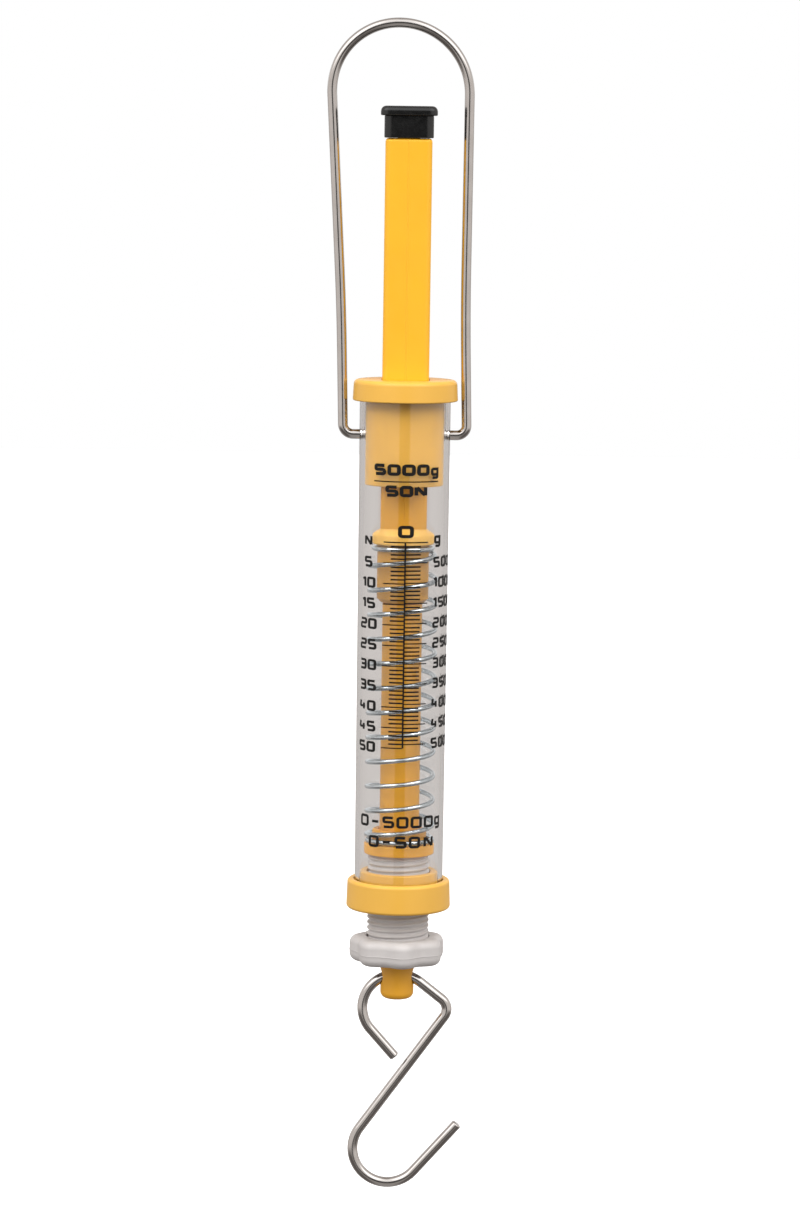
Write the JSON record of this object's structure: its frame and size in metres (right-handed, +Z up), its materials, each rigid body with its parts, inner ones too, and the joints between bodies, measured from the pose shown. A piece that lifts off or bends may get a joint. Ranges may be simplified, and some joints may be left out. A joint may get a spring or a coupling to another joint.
{
  "type": "hanging spring scale",
  "caption": "Tubular push and pull spring scale: clear graduated barrel, sliding plunger on a compression spring, wire bail, load hook and zero knob.",
  "frame": {"origin": "on the barrel's axis, level with the inside of the bail's crown, where the scale hangs", "axes": "+Z up the barrel from the load hook to the bail, +X along the bail's and the hook's pivots, -Y towards the reader who faces the printed scale"},
  "size_m": [0.0529, 0.0374, 0.4202],
  "materials": {
    "steel_wire": "bright drawn nickel-plated steel wire",
    "spring_steel": "zinc-plated spring wire",
    "clear_plastic": "clear moulded tube with a black printed scale",
    "yellow_plastic": "satin moulded",
    "white_plastic": "satin moulded",
    "black_rubber": "smooth moulded"
  },
  "bodies": {
    "bail": {"wire_bail": "steel_wire"},
    "housing": {"barrel_tube": "clear_plastic", "top_cap": "yellow_plastic", "guide_sleeve": "yellow_plastic", "bottom_cap": "yellow_plastic"},
    "seat": {"spring_seat": "yellow_plastic", "load_spring": "spring_steel"},
    "adjuster": {"zero_adjust_bush": "white_plastic", "zero_adjust_knob": "white_plastic"},
    "plunger": {"push_cap": "black_rubber", "plunger_bar": "yellow_plastic", "pointer_collar": "yellow_plastic", "plunger_stem": "yellow_plastic"},
    "hook": {"load_hook": "steel_wire"}
  },
  "joints": [
    {"name": "bail_pivot", "type": "hinge", "parent": "bail", "child": "housing", "pos_m": [0, 0, -0.1432], "axis": [1, 0, 0], "range_deg": [-170, 170]},
    {"name": "zero_adjust_travel", "type": "slide", "parent": "housing", "child": "seat", "axis": [0, 0, 1], "range_m": [-0.006, 0.0098]},
    {"name": "zero_adjust_turn", "type": "hinge", "parent": "seat", "child": "adjuster", "pos_m": [0, 0, -0.328], "axis": [0, 0, 1], "range_deg": [-1080, 1764]},
    {"name": "plunger_slide", "type": "slide", "parent": "seat", "child": "plunger", "axis": [0, 0, -1], "range_m": [0, 0.079], "stiffness_N_per_m": 682, "springref_m": -0.0013, "deforming": ["load_spring"]},
    {"name": "hook_swing", "type": "hinge", "parent": "plunger", "child": "hook", "pos_m": [0, 0, -0.339], "axis": [1, 0, 0], "range_deg": [-95, 95]}
  ],
  "couplings": [
    {"joint": "zero_adjust_turn", "follows": "zero_adjust_travel", "rad_per_m": 3141.6}
  ]
}
